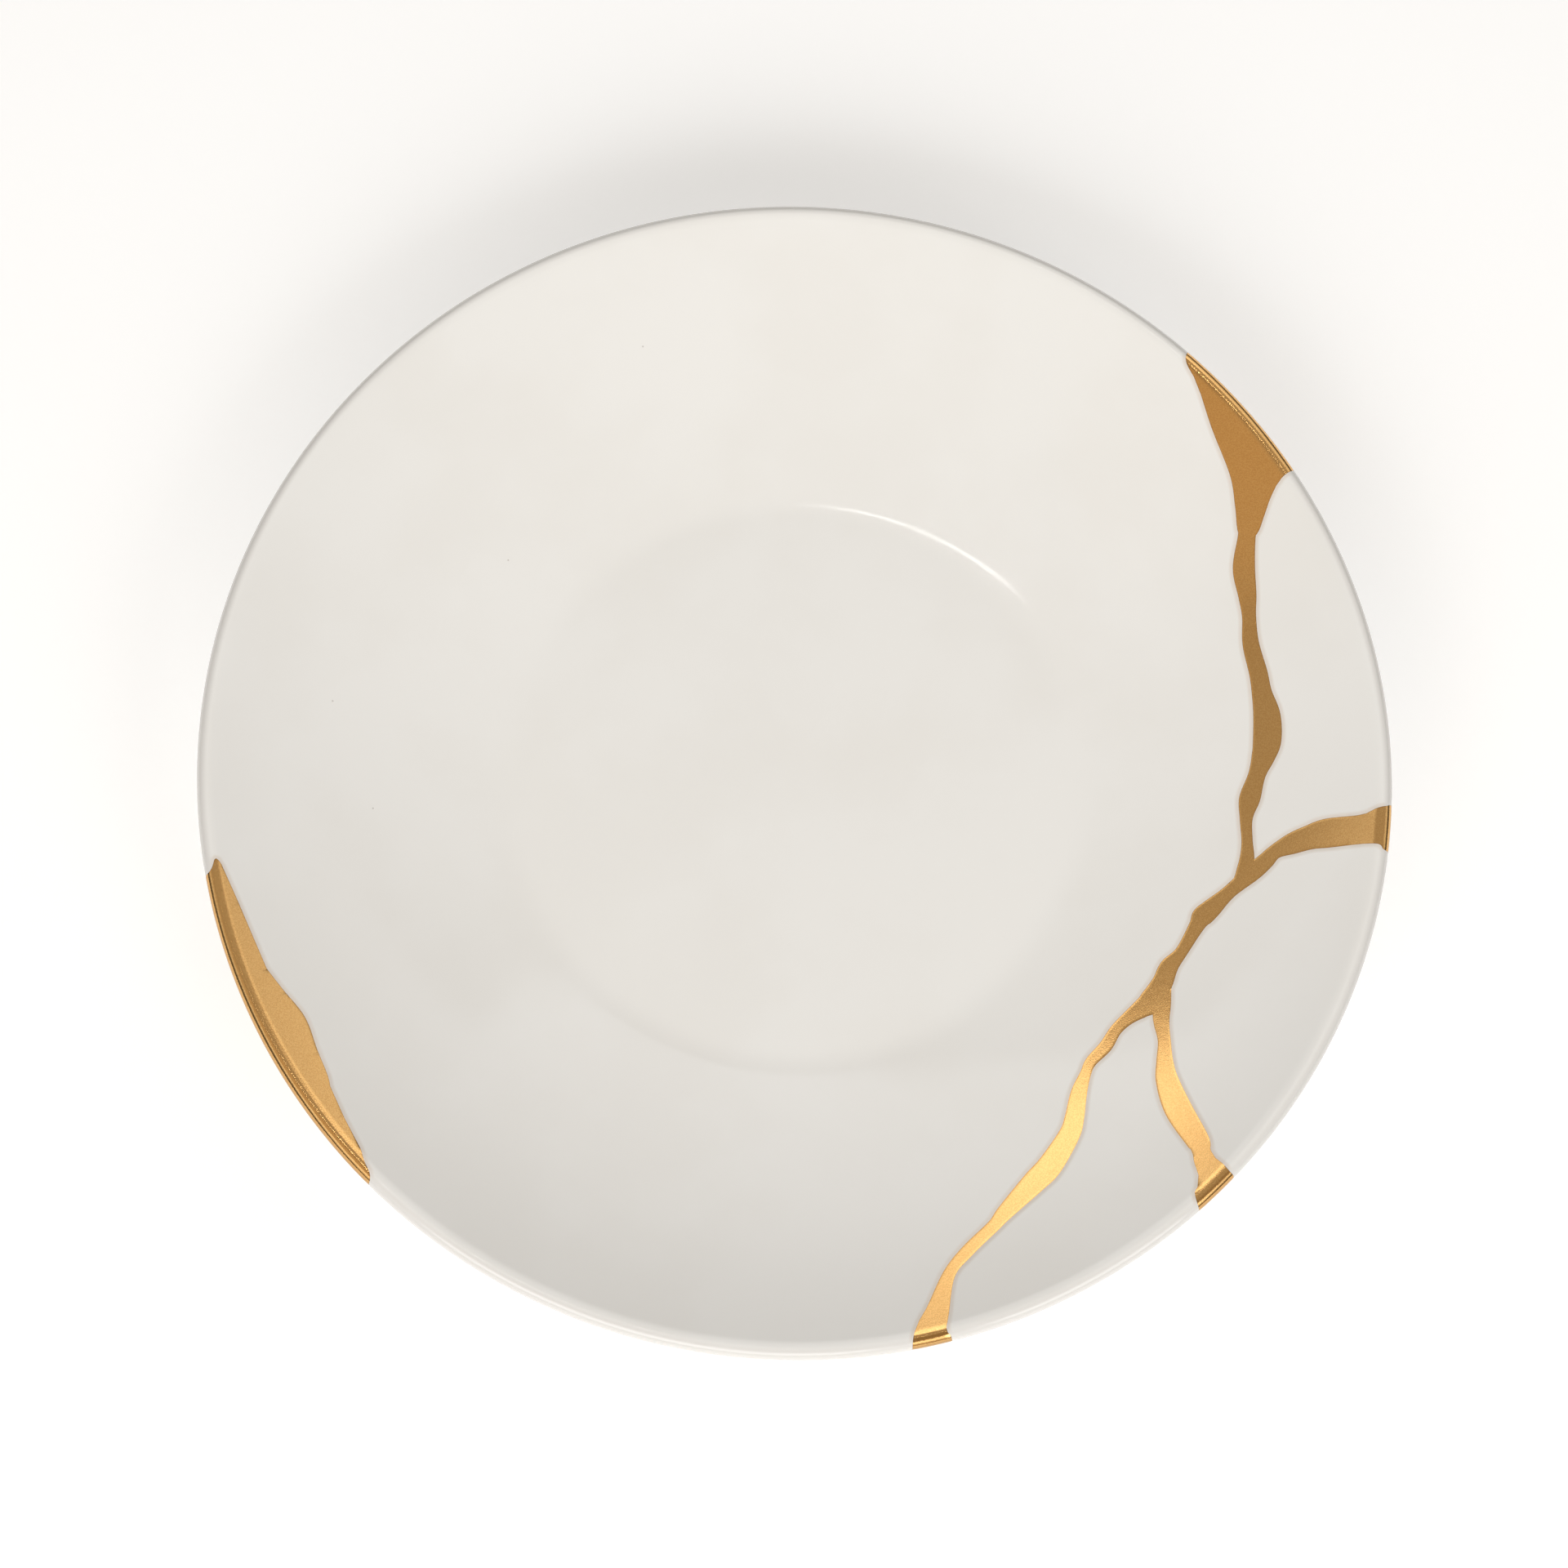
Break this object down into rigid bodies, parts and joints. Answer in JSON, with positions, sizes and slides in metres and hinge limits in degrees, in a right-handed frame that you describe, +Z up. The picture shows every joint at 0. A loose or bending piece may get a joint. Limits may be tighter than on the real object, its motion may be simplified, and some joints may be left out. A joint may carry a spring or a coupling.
{
  "type": "kintsugi salad plate",
  "caption": "Round coupe salad plate of glazed porcelain on a foot ring, with flush gold veins and gold fills along its mended cracks and chipped rim.",
  "frame": {"origin": "centre of the circle that the foot ring stands on, in the plane of the table", "axes": "+Z up through the middle of the plate, -Y towards the viewer of the picture, +X to the viewer's right, where most of the gold seams are"},
  "size_m": [0.21, 0.21, 0.025],
  "materials": {
    "porcelain": "clear gloss glaze over warm off-white porcelain",
    "gold": "satin gold leaf with a fine grain"
  },
  "bodies": {
    "root": {"porcelain_plate": "porcelain", "gold_seams": "gold", "gold_rim_fill": "gold"}
  },
  "joints": []
}
